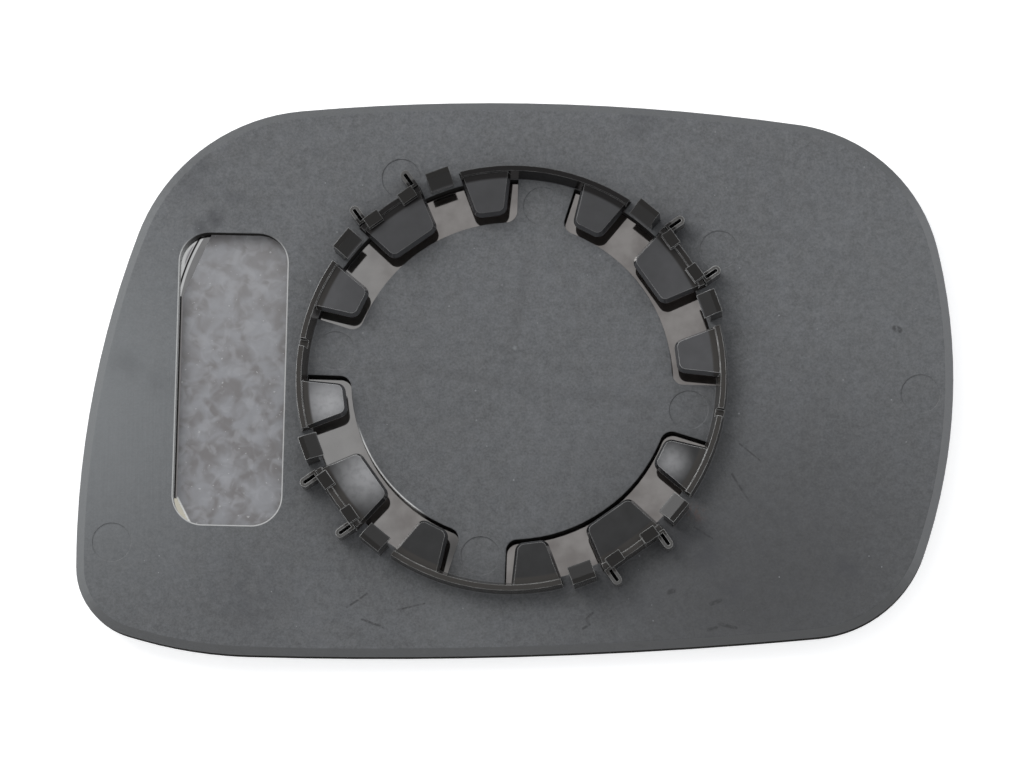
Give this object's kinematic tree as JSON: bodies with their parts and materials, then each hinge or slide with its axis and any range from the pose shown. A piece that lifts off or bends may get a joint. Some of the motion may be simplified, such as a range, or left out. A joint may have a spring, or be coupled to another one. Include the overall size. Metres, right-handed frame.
{
  "type": "door mirror glass with backing plate",
  "caption": "Convex door mirror glass bonded into a dark plastic backing plate with a ring of snap hooks and tongues that clips onto the mirror's actuator.",
  "frame": {"origin": "middle of the outline, at the lowest point of the convex mirror face", "axes": "+X along the long side towards the rounder end, +Y up the short side seen from behind, +Z out of the back, away from the mirror face"},
  "size_m": [0.1801, 0.1156, 0.0134],
  "materials": {
    "plate_plastic": "dark grey moulded plastic with a fine grain",
    "mirror": "silvered convex glass, bright on both faces",
    "film": "mottled grey film"
  },
  "bodies": {
    "root": {"backing_plate": "plate_plastic", "mirror_glass": "mirror", "backing_film": "film"}
  },
  "joints": []
}
